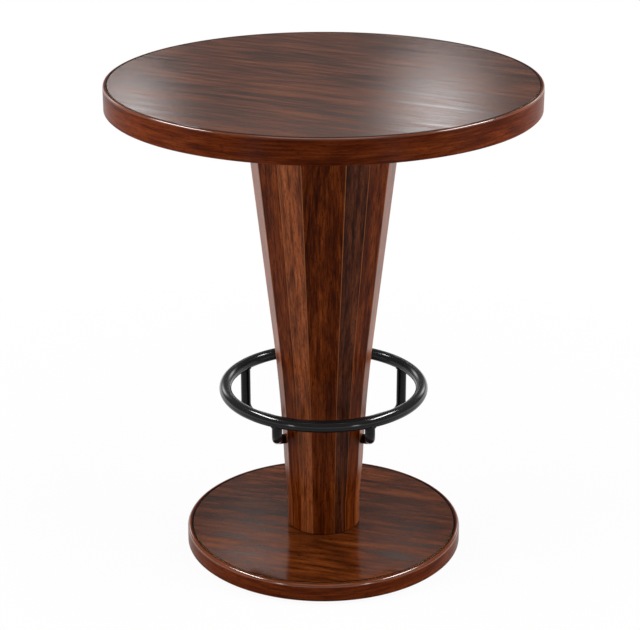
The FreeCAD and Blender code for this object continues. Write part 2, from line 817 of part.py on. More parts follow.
stem_head_top = "(Sizes.pad_floor + Sizes.stem_head_thickness)"
stem_corners = [
    ("0", "Sizes.pad_floor"),
    ("Sizes.stem_head_radius", "Sizes.pad_floor"),
    ("Sizes.stem_head_radius", stem_head_top),
    ("Sizes.stem_radius", stem_head_top),
    ("Sizes.stem_radius", stem_top),
    ("0", stem_top),
]

pad_top = f"({base_bottom} - Sizes.pad_gap)"
socket_radius = "(Sizes.stem_head_radius + Sizes.thread_play)"
socket_top = f"({stem_head_top} + Sizes.thread_play)"
pad_corners = [
    ("0", "0"),
    ("(Sizes.pad_radius - Sizes.pad_bevel)", "0"),
    ("Sizes.pad_radius", "Sizes.pad_bevel"),
    ("Sizes.pad_radius", pad_top),
    (stem_bore, pad_top),
    (stem_bore, socket_top),
    (socket_radius, socket_top),
    (socket_radius, "Sizes.pad_floor"),
    ("0", "Sizes.pad_floor"),
]

for number in range(1, LEVELLER_COUNT + 1):
    angle = LEVELLER_START + (number - 1) * FULL_TURN / LEVELLER_COUNT
    place = Placement(outward(angle) * value(leveller_pitch), Rotation())
    for name, corners in (("leveller_stem", stem_corners), ("leveller_pad", pad_corners)):
        piece = keep(turned_body(f"{name}_{number}", corners), f"{name}_{number}")
        piece.Placement = place

# Every piece is checked before any of them is written

doc.recompute()
for thing in doc.Objects:
    assert not {"Invalid", "Error"} & set(thing.State), f"{thing.Name} failed: {thing.State}"
for node in nodes:
    assert not node.Shape.isNull() and node.Shape.isValid(), f"{node.Label} has no sound shape"

os.makedirs("parts", exist_ok=True)
for node in nodes:
    node.Shape.exportStep(f"parts/{node.Label}.step")
    print(f"{node.Label}: {len(node.Shape.Solids)} solid(s), {node.Shape.Volume:.0f} mm3")
print(f"{len(nodes)} pieces written")
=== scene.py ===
# %% [markdown]
# # A bar-height pedestal table
# The solids of this table come from its CAD model: a round top, a flared column built of fourteen
# staves, a tube foot ring on four bent brackets, and a weighted round base. These cells give them the
# looks of the real table, dark red-brown wood under a satin lacquer and a ring in black enamel. Each
# piece stays where its solid is, and rides on the body of the CAD model that carries it.

# %% Load the frame
import json
import math

import bmesh
import bpy
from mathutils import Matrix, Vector


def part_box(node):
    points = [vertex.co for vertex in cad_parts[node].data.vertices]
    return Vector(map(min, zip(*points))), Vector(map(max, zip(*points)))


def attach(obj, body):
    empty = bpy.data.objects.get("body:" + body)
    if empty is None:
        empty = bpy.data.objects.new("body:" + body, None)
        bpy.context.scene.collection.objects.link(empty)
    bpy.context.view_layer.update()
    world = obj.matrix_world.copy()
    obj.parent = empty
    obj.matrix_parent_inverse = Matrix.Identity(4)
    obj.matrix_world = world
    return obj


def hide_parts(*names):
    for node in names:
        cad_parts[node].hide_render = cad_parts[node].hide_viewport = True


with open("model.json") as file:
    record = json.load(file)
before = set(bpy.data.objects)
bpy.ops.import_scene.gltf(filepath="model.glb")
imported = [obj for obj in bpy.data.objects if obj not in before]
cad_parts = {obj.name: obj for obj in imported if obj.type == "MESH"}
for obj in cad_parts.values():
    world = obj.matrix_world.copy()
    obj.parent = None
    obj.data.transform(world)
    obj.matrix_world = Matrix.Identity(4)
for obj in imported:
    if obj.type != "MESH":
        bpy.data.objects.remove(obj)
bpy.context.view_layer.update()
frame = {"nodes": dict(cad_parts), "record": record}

scene = bpy.context.scene
scene.view_settings.view_transform = "Standard"

# %% [markdown]
# ## Sizes
# Everything is in metres, in the frame of the solids: the origin is on the floor under the column, +Z
# is up and -Y is the front. A piece that is round about the table's axis can be measured on the box of
# its solid, so those sizes are read and not typed, and the scene still fits when the solids change.

# %% Sizes of the round pieces
TABLE = "table"


def round_size(node):
    """Radius, lowest height and highest height of a solid that is round about the table's axis."""
    low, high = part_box(node)
    return high.x, low.z, high.z


top_radius, top_underside, top_surface = round_size("top_edge_band")
base_radius, base_underside, base_surface = round_size("base_edge_band")
top_panel_radius, top_panel_underside, _ = round_size("top_veneer")
base_panel_radius, base_panel_underside, _ = round_size("base_veneer")
ring_outside, ring_bottom, ring_top = round_size("foot_ring")
ring_tube_radius = (ring_top - ring_bottom) / 2
ring_radius = ring_outside - ring_tube_radius
ring_height = (ring_top + ring_bottom) / 2
print(f"top {2 * top_radius:.3f} wide, base {2 * base_radius:.3f} wide")
print(f"ring {2 * ring_radius:.3f} wide at a height of {ring_height:.3f}")

# %% [markdown]
# ## Camera
# The picture shows the table from in front and above. The camera's place was found by fitting circles
# to the rims of the top and the base. A long lens far away keeps the column's sides nearly upright, and
# a small shift puts the table's axis a few pixels right of the middle, as in the picture.

# %% Camera
CAMERA_PLACE = (0.0, -3.7484, 1.9878)
CAMERA_DIP = math.radians(21.096)
CAMERA_LENS = 103.68
CAMERA_SHIFT = -0.00553

camera = bpy.data.objects.new("photo_camera", bpy.data.cameras.new("photo_camera"))
scene.collection.objects.link(camera)
camera.location = CAMERA_PLACE
camera.rotation_euler = (math.pi / 2 - CAMERA_DIP, 0, 0)
camera.data.lens = CAMERA_LENS
camera.data.shift_x = CAMERA_SHIFT
scene.camera = camera
print("camera", CAMERA_PLACE, "lens", CAMERA_LENS)

# %% [markdown]
# ## Node trees written as sums
# Materials and Geometry Nodes are both trees of nodes. Placing each node by hand takes many lines, so
# one small class wraps a socket and gives it Python's operators: height * 2 + 1 then adds two Math
# nodes. Anything that isn't a sum comes from the tree's node() method. It sets a node's options first,
# because some options change which sockets there are, and fills or links the sockets afterwards.

# %% A tree and its sockets
class Flow:
    """A socket of a tree. A sum with it adds Math nodes to the tree."""

    def __init__(self, tree, socket):
        self.tree = tree
        self.socket = socket

    def maths(self, operation, *others):
        return self.tree.node("ShaderNodeMath", {"operation": operation}, [self, *others])

    def other(self, name):
        """Another output of the node that this socket belongs to."""
        return Flow(self.tree, self.socket.node.outputs[name])

    def __add__(self, other):
        return self.maths("ADD", other)

    def __sub__(self, other):
        return self.maths("SUBTRACT", other)

    def __rsub__(self, other):
        return self.tree.node("ShaderNodeMath", {"operation": "SUBTRACT"}, [other, self])

    def __mul__(self, other):
        return self.maths("MULTIPLY", other)

    def __truediv__(self, other):
        return self.maths("DIVIDE", other)

    def __pow__(self, other):
        return self.maths("POWER", other)

    __radd__ = __add__
    __rmul__ = __mul__


class Tree:
    """A node tree that is being built."""

    def __init__(self, node_tree):
        self.node_tree = node_tree

    def node(self, kind, settings=None, inputs=None, output=0):
        made = self.node_tree.nodes.new(kind)
        for name, setting in (settings or {}).items():
            if name == "stops":
                set_stops(made.color_ramp, setting)
            else:
                setattr(made, name, setting)
        filled = inputs.items() if isinstance(inputs, dict) else enumerate(inputs or [])
        for name, item in filled:
            if isinstance(item, Flow):
                self.node_tree.links.new(item.socket, made.inputs[name])
            else:
                made.inputs[name].default_value = item
        return Flow(self, made.outputs[output]) if made.outputs else None


def set_stops(ramp, stops):
    """Gives a colour ramp its (place, colour) stops."""
    while len(ramp.elements) < len(stops):
        ramp.elements.new(1.0)
    for element, (place, colour) in zip(ramp.elements, stops):
        element.position = place
        element.color = (*colour, 1.0)


print("trees and sockets ready")

# %% [markdown]
# Places and colours hold three numbers each, and a Math node would turn them into one. These helpers
# send them through Vector Math and Mix nodes instead, or take a place apart into its axes. The one used
# most is spread: it stretches the part of a value that matters into a mask from 0 to 1.

# %% Places, colours and masks
MIX_FACTOR, MIX_A, MIX_B, MIX_RESULT = 0, 6, 7, 2


def vector_maths(tree, operation, *vectors):
    return tree.node("ShaderNodeVectorMath", {"operation": operation}, vectors)


def length(tree, vector):
    return vector_maths(tree, "LENGTH", vector).other("Value")


def axes(tree, vector):
    """The x, y and z of a place, as three sockets."""
    x = tree.node("ShaderNodeSeparateXYZ", None, {"Vector": vector})
    return x, x.other("Y"), x.other("Z")


def mix_colour(tree, mask, first, second):
    """The first colour where the mask is 0, and the second where it is 1."""
    first, second = (c if isinstance(c, Flow) else (*c, 1.0) for c in (first, second))
    return tree.node(
        "ShaderNodeMix", {"data_type": "RGBA"}, {MIX_FACTOR: mask, MIX_A: first, MIX_B: second}, MIX_RESULT
    )


def spread(tree, flow, low, high):
    """Stretches the part of a value between low and high to the whole range from 0 to 1."""
    return tree.node("ShaderNodeMapRange", None, {"Value": flow, "From Min": low, "From Max": high})


def bump(tree, height, strength, depth):
    return tree.node("ShaderNodeBump", None, {"Strength": strength, "Distance": depth, "Height": height})


print("helpers for places, colours and masks ready")

# %% [markdown]
# ## Stained and lacquered wood
# The real table is dark red-brown wood with long straight streaks, some nearly black and some warm,
# under a clear satin lacquer. Wood like this is a few layers of noise, each drawn out along the grain:
# broad bands, finer streaks, single fibres, and short dark pores. The layers are added up to one tone,
# and a colour ramp turns the tone into stain colours. A slow sideways drift keeps the lines from being
# ruler-straight. The lacquer is the shader's own gloss, uneven where the fibres telegraph through.

# %% Noise along the grain
NOISE_MIDDLE = 0.5
NOISE_ROUGHNESS = 0.55
SWAY_WAVES, SWAY_DETAIL = (1.3, 5.0), 1.0


def grain_noise(tree, place, waves, detail):
    """Noise with this many waves per metre along and across the grain, which runs along x."""
    along, across = waves
    drawn_out = vector_maths(tree, "MULTIPLY", place, (along, across, across))
    return tree.node(
        "ShaderNodeTexNoise", {"noise_dimensions": "3D"},
        {"Vector": drawn_out, "Scale": 1.0, "Detail": detail, "Roughness": NOISE_ROUGHNESS},
    )


def swayed(tree, place, sway):
    """Moves the grain sideways by a distance that drifts from place to place."""
    drift = grain_noise(tree, place, SWAY_WAVES, SWAY_DETAIL) - NOISE_MIDDLE
    sideways = tree.node("ShaderNodeCombineXYZ", None, {"Y": drift * sway})
    return vector_maths(tree, "ADD", place, sideways)


print("grain drifts over", round(1 / SWAY_WAVES[0], 2), "m along the board")

# %% [markdown]
# The wood function takes the place on the board, with x along the grain, and the four colours of its
# ramp. What differs from board to board, such as the width of the bands, is passed in by name. It can
# also be given a mask where a lighter colour under a clear coat is painted in as a highlight line, and a
# mask where a near-black colour is painted in as shade, which also draws a knot.

# %% Wood finish
BAND_DETAIL, BAND_LIMITS = 3.0, (0.22, 0.78)
STREAK_DETAIL, STREAK_LIMITS = 4.0, (0.25, 0.75)
FIBRE_WAVES, FIBRE_DETAIL, FIBRE_LIMITS = (16.0, 260.0), 2.0, (0.25, 0.75)
PORE_WAVES, PORE_DETAIL, PORE_LIMITS = (80.0, 420.0), 1.0, (0.57, 0.68)
PORE_DARKNESS = 0.6
PORE_DEPTH = 0.0003
FIBRE_RELIEF_SHARE, PORE_RELIEF_SHARE = 0.4, 0.6
TONE_SHARES = (0.36, 0.34, 0.30)
GLOSS_VARIATION = 0.05
# Near-black colour painted in as shade, and used for the knot.
SHADE_AND_KNOT_COLOUR = (0.0020, 0.0008, 0.0005)
# Clear coat over the painted highlight lines.
HIGHLIGHT_LINE_COAT = {"Coat Roughness": 0.12, "Coat IOR": 1.9}


def new_material(name):
    material = bpy.data.materials.new(name)
    material.use_nodes = True
    material.node_tree.nodes.clear()
    return material, Tree(material.node_tree)


def close_material(tree, sockets):
    shader = tree.node("ShaderNodeBsdfPrincipled", None, sockets)
    tree.node("ShaderNodeOutputMaterial", None, {"Surface": shader})


def wood_finish(
    tree, place, stops, bands, streaks, gloss, shine, fibres=FIBRE_WAVES, shares=TONE_SHARES,
    sway=0.02, relief=0.15, painted_highlight=None, painted_shade_and_knot=None,
):
    """Stained wood. Two optional masks paint onto it: a lighter colour with a clear coat as a highlight
    line, and a near-black colour as shade, which also draws a knot.
    """
    place = swayed(tree, place, sway)
    band = spread(tree, grain_noise(tree, place, bands, BAND_DETAIL), *BAND_LIMITS)
    streak = spread(tree, grain_noise(tree, place, streaks, STREAK_DETAIL), *STREAK_LIMITS)
    fibre = spread(tree, grain_noise(tree, place, fibres, FIBRE_DETAIL), *FIBRE_LIMITS)
    pore = spread(tree, grain_noise(tree, place, PORE_WAVES, PORE_DETAIL), *PORE_LIMITS)
    band_share, streak_share, fibre_share = shares
    tone = band * band_share + streak * streak_share + fibre * fibre_share
    colour = tree.node("ShaderNodeValToRGB", {"stops": stops}, {"Fac": tone})
    darkest = stops[0][1]
    colour = mix_colour(tree, pore * PORE_DARKNESS, colour, darkest)
    sockets = {"Specular IOR Level": shine}
    # Painted highlight: the mask lightens the colour into a bright line and lays a clear coat over it.
    if painted_highlight is not None:
        painted_highlight_mask, painted_highlight_colour, polish = painted_highlight
        colour = mix_colour(tree, painted_highlight_mask, colour, painted_highlight_colour)
        sockets.update({"Coat Weight": painted_highlight_mask * polish, **HIGHLIGHT_LINE_COAT})
    # Painted shade: the mask turns the colour near-black in grooves and at the column's foot; the same mix
    # draws a knot.
    if painted_shade_and_knot is not None:
        colour = mix_colour(tree, painted_shade_and_knot, colour, SHADE_AND_KNOT_COLOUR)
    surface = fibre * FIBRE_RELIEF_SHARE + (1 - pore) * PORE_RELIEF_SHARE
    sockets["Normal"] = bump(tree, surface, relief, PORE_DEPTH)
    uneven = streak * GLOSS_VARIATION + fibre * GLOSS_VARIATION
    sockets["Roughness"] = uneven + (gloss - GLOSS_VARIATION)
    sockets["Base Color"] = colour
    close_material(tree, sockets)


print("wood finish: bands, streaks and fibres weigh", TONE_SHARES)

# %% [markdown]
# ## The panels of the top and the base
# Both round panels are faced with veneer of one kind, a touch redder on the base. Its streaks run from
# left to right and come a little towards the viewer on the right, so the grain is turned on plan. A
# level panel is seen at a low angle, which squeezes its pattern, so the fibres are drawn wider than in
# the solid timber and weigh more. The pattern is read from the object's own coordinates, so it goes
# straight through the panel as it does in a sheet of veneer.

# %% Veneer
TOP_VENEER_STOPS = (
    (0.24, (0.020, 0.0046, 0.0012)),
    (0.44, (0.046, 0.0103, 0.0023)),
    (0.58, (0.084, 0.0195, 0.0041)),
    (0.76, (0.132, 0.0345, 0.0085)),
)
BASE_VENEER_STOPS = (
    (0.24, (0.022, 0.0048, 0.0011)),
    (0.44, (0.051, 0.0108, 0.0022)),
    (0.58, (0.092, 0.0205, 0.0039)),
    (0.76, (0.145, 0.0362, 0.0081)),
)
VENEER_GRAIN = {"bands": (1.3, 15.0), "streaks": (3.2, 48.0), "sway": 0.05, "relief": 0.03}
VENEER_SHARES = (0.28, 0.30, 0.42)
# Width of the painted shade ring at the panel's rim.
RIM_SHADE_WIDTH = 0.0014
ON_PLAN = (1, 1, 0)


def veneer_material(name, stops, radius, turn, offset, fibres, shine, gloss):
    """Veneer for a panel of this radius; turn is the bearing of its grain in degrees."""
    material, tree = new_material(name)
    place = tree.node("ShaderNodeTexCoord", output="Object")
    outwards = length(tree, vector_maths(tree, "MULTIPLY", place, ON_PLAN))
    turned = tree.node(
        "ShaderNodeMapping", {"vector_type": "POINT"},
        {"Vector": place, "Rotation": (0, 0, math.radians(turn)), "Location": offset},
    )
    wood_finish(
        tree, turned, stops, fibres=fibres, gloss=gloss, shine=shine, shares=VENEER_SHARES,
        # Painted shade: a thin near-black ring at the panel's rim stands for the shade in the groove
        # beside the band.
        painted_shade_and_knot=spread(tree, outwards, radius - RIM_SHADE_WIDTH, radius - RIM_SHADE_WIDTH / 2), **VENEER_GRAIN,
    )
    return material


top_veneer_finish = veneer_material(
    "top_veneer_finish", TOP_VENEER_STOPS, top_panel_radius,
    turn=27, offset=(0.4, 0.7, 0.0), fibres=(9.0, 80.0), shine=0.28, gloss=0.12,
)
base_veneer_finish = veneer_material(
    "base_veneer_finish", BASE_VENEER_STOPS, base_panel_radius,
    turn=16, offset=(2.1, 3.3, 0.0), fibres=(12.0, 80.0), shine=0.15, gloss=0.15,
)
print("veneer finishes:", top_veneer_finish.name, base_veneer_finish.name)

# %% [markdown]
# ## Turning a piece
# The panels and their solid edge bands are bodies of revolution, so one function turns an outline of
# (radius, height) points about the table's axis, as a lathe would. A point on the axis becomes a single
# pole. The function also unrolls the surface into a UV map called grain: its first axis runs round the
# table, because the timber of an edge band is bent round with its grain along the rim.

# %% Lathe
TURN_STEPS = 256
SHARP_ANGLE = math.radians(28)


def arc(centre_radius, centre_height, radius, start, end, steps):
    """Points of a rounded corner between two angles in degrees, for an outline."""
    angles = [math.radians(start + (end - start) * step / steps) for step in range(steps + 1)]
    return [(centre_radius + radius * math.cos(a), centre_height + radius * math.sin(a)) for a in angles]


def smooth_but_sharp(mesh):
    mesh.polygons.foreach_set("use_smooth", [True] * len(mesh.polygons))
    mesh.set_sharp_from_angle(angle=SHARP_ANGLE)


def turned_mesh(name, outline):
    built = bmesh.new()
    grain = built.loops.layers.uv.new("grain")
    rings = []
    for radius, height in outline:
        count = TURN_STEPS if radius > 0 else 1
        angles = [math.tau * step / count for step in range(count)]
        circle = [(radius * math.cos(a), radius * math.sin(a), height) for a in angles]
        rings.append([built.verts.new(point) for point in circle])
    reach = max(radius for radius, height in outline)
    has_poles = outline[0][0] == 0
    pairs = list(zip(rings, rings[1:] if has_poles else rings[1:] + rings[:1]))
    travelled = 0.0
    for (lower, upper), begin, finish in zip(pairs, outline, outline[1:] + outline[:1]):
        step_length = math.dist(begin, finish)
        for step in range(TURN_STEPS):
            corners = [(lower, step, 0), (lower, step + 1, 0), (upper, step + 1, 1), (upper, step, 1)]
            # Two corners fall together at a pole, and only the first of them is kept.
            corners = [c for n, c in enumerate(corners) if len(c[0]) > 1 or n in (0, 2)]
            face = built.faces.new([ring[number % len(ring)] for ring, number, _ in corners])
            for loop, (_, number, along) in zip(face.loops, corners):
                around = math.tau * number / TURN_STEPS * reach
                loop[grain].uv = (around, travelled + along * step_length)
        travelled += step_length
    bmesh.ops.recalc_face_normals(built, faces=built.faces)
    mesh = bpy.data.meshes.new(name)
    built.to_mesh(mesh)
    built.free()
    smooth_but_sharp(mesh)
    return mesh


def place_piece(name, mesh, node, material=None):
    """Puts a finished mesh into the scene in place of its solid."""
    piece = bpy.data.objects.new(name, mesh)
    scene.collection.objects.link(piece)
    if material:
        mesh.materials.append(material)
    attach(piece, TABLE)
    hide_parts(node)
    return piece


print("lathe: one turn in", TURN_STEPS, "steps")

# %% [markdown]
# A veneer leaf is a thin disc. Its upper edge is eased by a hair, as it is after sanding, and that edge
# forms one side of the fine groove which runs round the panel.

# %% Panels
VENEER_EASE = 0.0003


def panel_mesh(name, radius, lower, upper):
    eased = [(radius, upper - VENEER_EASE), (radius - VENEER_EASE, upper)]
    return turned_mesh(name, [(0, lower), (radius, lower), *eased, (0, upper)])


top_panel = place_piece(
    "top_panel", panel_mesh("top_panel", top_panel_radius, top_panel_underside, top_surface),
    "top_veneer", top_veneer_finish,
)
base_panel = place_piece(
    "base_panel", panel_mesh("base_panel", base_panel_radius, base_panel_underside, base_surface),
    "base_veneer", base_veneer_finish,
)
print("panels:", len(top_panel.data.polygons), "and", len(base_panel.data.polygons), "faces")

# %% [markdown]
# ## Edge bands
# Each panel is lipped with solid timber, stained redder than the veneer. On the shoulder, where the band
# is rounded, a lighter colour under a clear coat is painted in as a highlight line, and the quirk's faces
# are painted near-black as shade. Where the shoulder and the quirk lie is known from the band's outline,
# so masks on the unrolled surface can find them.

# %% Edge timber
EDGE_STOPS = (
    (0.24, (0.027, 0.0040, 0.0005)),
    (0.44, (0.056, 0.0083, 0.0010)),
    (0.60, (0.093, 0.0160, 0.0022)),
    (0.80, (0.135, 0.0285, 0.0050)),
)
EDGE_GRAIN = {"bands": (3.0, 26.0), "streaks": (12.0, 120.0), "sway": 0.03}
EDGE_SHINE = 0.03
LACQUER_GLOSS = 0.30
QUIRK = 0.002
# Width of the painted shade in the quirk.
QUIRK_SHADE_WIDTH = QUIRK / 4
SHOULDER_FADE = (0.5, 1.0)
# Lighter colour and amount of the painted highlight on the shoulder.
SHOULDER_HIGHLIGHT_COLOUR = (0.150, 0.038, 0.008)
SHOULDER_HIGHLIGHT_AMOUNT = 0.5
SHOULDER_POLISH = 1.8


def edge_material(name, offset, shoulder, half_width, quirk):
    """Edge timber; the shoulder and the quirk are where they lie on the unrolled outline."""
    material, tree = new_material(name)
    unrolled = tree.node("ShaderNodeUVMap", {"uv_map": "grain"})
    _, across, _ = axes(tree, unrolled)
    away = (across - shoulder).maths("ABSOLUTE") / half_width
    # Painted highlight: a lighter colour along the rounded shoulder, under a clear coat, draws its bright
    # line.
    painted_highlight_mask = (1 - spread(tree, away, *SHOULDER_FADE)) * SHOULDER_HIGHLIGHT_AMOUNT
    wood_finish(
        tree, vector_maths(tree, "ADD", unrolled, offset), EDGE_STOPS, gloss=LACQUER_GLOSS,
        shine=EDGE_SHINE, painted_highlight=(painted_highlight_mask, SHOULDER_HIGHLIGHT_COLOUR, SHOULDER_POLISH),
        # Painted shade: the quirk's faces turn near-black, standing for the shade in the groove.
        painted_shade_and_knot=spread(tree, across, quirk - QUIRK_SHADE_WIDTH, quirk), **EDGE_GRAIN,
    )
    return material


print("edge timber:", len(EDGE_STOPS), "stain colours")

# %% [markdown]
# The top's band has a small round, and the base's a fuller shoulder. The inner edge is planed off to a
# quirk, the narrow V that reads as a dark line round the panel. Rounding the quirk's own corner a little
# gives it the thin bright line next to the dark one. Both bands come off the lathe.

# %% Edge bands
QUIRK_ROUND = 0.0006
UNDERSIDE_BEVEL = 0.002
BAND_CLEARANCE = 0.0001
TOP_EDGE_ROUND = 0.004
BASE_EDGE_ROUND = 0.007
QUIRK_STEPS, SHOULDER_STEPS = 3, 10


def band_mesh(name, radius, bore, lower, upper, rounding):
    quirk_middle = bore + QUIRK + QUIRK_ROUND
    return turned_mesh(name, [
        (bore, lower),
        (radius - UNDERSIDE_BEVEL, lower),
        (radius, lower + UNDERSIDE_BEVEL),
        *arc(radius - rounding, upper - rounding, rounding, 0, 90, SHOULDER_STEPS),
        *arc(quirk_middle, upper - QUIRK_ROUND, QUIRK_ROUND, 90, 135, QUIRK_STEPS),
        (bore, upper - QUIRK),
    ])


def edge_band(node, radius, panel_radius, lower, upper, rounding, offset):
    name = node + "_lip"
    bore = panel_radius + BAND_CLEARANCE
    before_round = radius - bore - UNDERSIDE_BEVEL + math.sqrt(2) * UNDERSIDE_BEVEL
    before_round += upper - lower - UNDERSIDE_BEVEL - rounding
    half_round = rounding * math.pi / 4
    before_quirk = before_round + 2 * half_round + radius - rounding - bore - QUIRK - QUIRK_ROUND
    finish = edge_material(name + "_finish", offset, before_round + half_round, half_round, before_quirk)
    mesh = band_mesh(name, radius, bore, lower, upper, rounding)
    return place_piece(name, mesh, node, finish)


top_band = edge_band(
    "top_edge_band", top_radius, top_panel_radius, top_underside, top_surface,
    rounding=TOP_EDGE_ROUND, offset=(0.0, 0.0, 0.0),
)
base_band = edge_band(
    "base_edge_band", base_radius, base_panel_radius, base_underside, base_surface,
    rounding=BASE_EDGE_ROUND, offset=(5.0, 0.4, 0.0),
)
print("edge bands:", len(top_band.data.polygons), "and", len(base_band.data.polygons), "faces")

# %% [markdown]
# ## Staves
# The column is coopered: fourteen boards with bevelled sides stand in a ring and lean outwards towards
# the top. Every board follows one rule. Its outer face rises plumb from the foot, sweeps outwards on a
# long arc and runs on as a straight taper. It is flat across, except at the foot. There the whole column
# was turned on a lathe: it is round just above the base, and the flats run out into a cone above that.
# Geometry Nodes suit such a rule: one tree bends a gridded block into a board, and its inputs say which
# board it is.

# %% The column's sweep
STAVE_WIDTHS = (34, 20, 23, 30, 24, 22, 27, 34, 27, 22, 24, 30, 23, 20)
FOOT_RADIUS = 0.0855
TOP_RADIUS = 0.1694
SWEEP_RISE = 0.460
FOOT_ROUND_RISE = 0.070
FOOT_TURNING_RISE = 0.150
FOOT_TURNING_DEPTH = 0.0005
FOOT_TURNING_FLARE = 0.0025
STAVE_WALL = 0.032
SWEEP_PASSES = 8

column_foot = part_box("stave_01")[0].z
column_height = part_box("stave_01")[1].z - column_foot
widest_flat = math.cos(math.radians(max(STAVE_WIDTHS)) / 2)
turned_radius = FOOT_RADIUS * widest_flat - FOOT_TURNING_DEPTH
turning_spread = FOOT_RADIUS + FOOT_TURNING_FLARE - turned_radius
turning_slope = turning_spread / (FOOT_TURNING_RISE - FOOT_ROUND_RISE)
hollow_foot = turned_radius - STAVE_WALL
hollow_top = TOP_RADIUS * widest_flat - STAVE_WALL

lean = 0.0
for _ in range(SWEEP_PASSES):
    straight_from = SWEEP_RISE / (2 * math.cos(lean / 2) ** 2)
    lean = math.atan((TOP_RADIUS - FOOT_RADIUS) / (column_height - straight_from))
sweep_radius = SWEEP_RISE / math.sin(lean)
print(f"the sides lean {math.degrees(lean):.2f} degrees after a sweep of {sweep_radius:.2f} m radius")

# %% [markdown]
# A tree for Geometry Nodes needs named inputs, which show up on the modifier. This helper makes them,
# and the last one runs a tree on a line of points and keeps the result as a plain mesh. An input is set
# by its identifier before the first evaluation, since two inputs could share a name.

# %% Geometry Nodes helpers
BEVEL_STEPS = 2
BEVEL_ANGLE = math.radians(50)


def rule_tree(name, sizes):
    """A Geometry Nodes tree with these number inputs and a material, and a dictionary of its inputs."""
    group = bpy.data.node_groups.new(name, "GeometryNodeTree")
    group.interface.new_socket("Path", in_out="INPUT", socket_type="NodeSocketGeometry")
    for size in sizes:
        group.interface.new_socket(size, in_out="INPUT", socket_type="NodeSocketFloat")
    group.interface.new_socket("Finish", in_out="INPUT", socket_type="NodeSocketMaterial")
    group.interface.new_socket("Geometry", in_out="OUTPUT", socket_type="NodeSocketGeometry")
    tree = Tree(group)
    entry = group.nodes.new("NodeGroupInput")
    return tree, {socket.name: Flow(tree, socket) for socket in entry.outputs if socket.name}


def close_rule(tree, geometry, finish):
    smooth = tree.node("GeometryNodeSetShadeSmooth", None, {"Geometry": geometry})
    real = tree.node("GeometryNodeRealizeInstances", None, {"Geometry": smooth})
    dressed = tree.node("GeometryNodeSetMaterial", None, {"Geometry": real, "Material": finish})
    tree.node("NodeGroupOutput", None, {"Geometry": dressed})


def grow_mesh(name, tree, values, path=(), bevel=0.0):
    """The plain mesh that a rule tree makes with these values along a path of points."""
    line = bpy.data.meshes.new(name)
    line.from_pydata(path, [(n, n + 1) for n in range(len(path) - 1)], [])
    holder = bpy.data.objects.new(name, line)
    scene.collection.objects.link(holder)
    rule = holder.modifiers.new("rule", "NODES")
    rule.node_group = tree.node_tree
    for item in tree.node_tree.interface.items_tree:
        if item.in_out == "INPUT" and item.name in values:
            rule[item.identifier] = values[item.name]
    if bevel:
        eased = holder.modifiers.new("eased_edges", "BEVEL")
        eased.width = bevel
        eased.segments = BEVEL_STEPS
        eased.limit_method = "ANGLE"
        eased.angle_limit = BEVEL_ANGLE
    evaluated = holder.evaluated_get(bpy.context.evaluated_depsgraph_get())
    mesh = bpy.data.meshes.new_from_object(evaluated)
    holder.modifiers.clear()
    bpy.data.objects.remove(holder)
    mesh.name = name
    smooth_but_sharp(mesh)
    return mesh


print("helpers for Geometry Nodes ready")

# %% [markdown]
# The stave tree starts from a block of one unit. Its x runs across the board, y from the hollow side to
# the face, and z up the column. Each is turned into an angle, a radius and a height, which say where the
# point goes. The turned cone cuts the flats only up to its own height: above that it opens so fast that
# it stays outside them. Before the block is bent, the tree stores a vector called grain for the wood: up
# the board, across it and into it. A board is sawn from a plank, so its fibres stay parallel while its
# sides taper. A second value, called arris, is 1 at the board's two long edges.

# %% Stave tree
ROWS, COLUMNS = 140, 17
ROW_CROWDING = 1.25
UNIT_HALF = 0.5

stave_tree, size = rule_tree("flared_stave", (
    "Width Angle", "Bearing", "Foot Height", "Height", "Foot Radius",
    "Sweep Rise", "Sweep Radius", "Taper",
    "Turned Radius", "Round Rise", "Turning Slope", "Turning Rise",
    "Hollow Foot", "Hollow Slope", "Plank",
))
block = stave_tree.node("GeometryNodeMeshCube", None, {
    "Size": (1, 1, 1), "Vertices X": COLUMNS, "Vertices Y": 2, "Vertices Z": ROWS,
})
across, inwards, upwards = axes(stave_tree, stave_tree.node("GeometryNodeInputPosition"))
depth, up = inwards + UNIT_HALF, upwards + UNIT_HALF
rise = up ** ROW_CROWDING * size["Height"]
swing = across * size["Width Angle"]

curved = rise.maths("MINIMUM", size["Sweep Rise"])
sweep = size["Sweep Radius"] - (size["Sweep Radius"] ** 2 - curved ** 2).maths("SQRT")
taper = (rise - size["Sweep Rise"]).maths("MAXIMUM", 0.0) * size["Taper"]
arris = size["Foot Radius"] + sweep + taper
flat = arris * (size["Width Angle"] / 2).maths("COSINE") / swing.maths("COSINE")
cone = size["Turned Radius"] + (rise - size["Round Rise"]).maths("MAXIMUM", 0.0) * size["Turning Slope"]
cone = cone + (rise - size["Turning Rise"]).maths("MAXIMUM", 0.0)
face = flat.maths("MINIMUM", cone)
hollow = (size["Hollow Foot"] + rise * size["Hollow Slope"]) / swing.maths("COSINE")
radius = hollow + depth * (face - hollow)
bearing = swing + size["Bearing"]

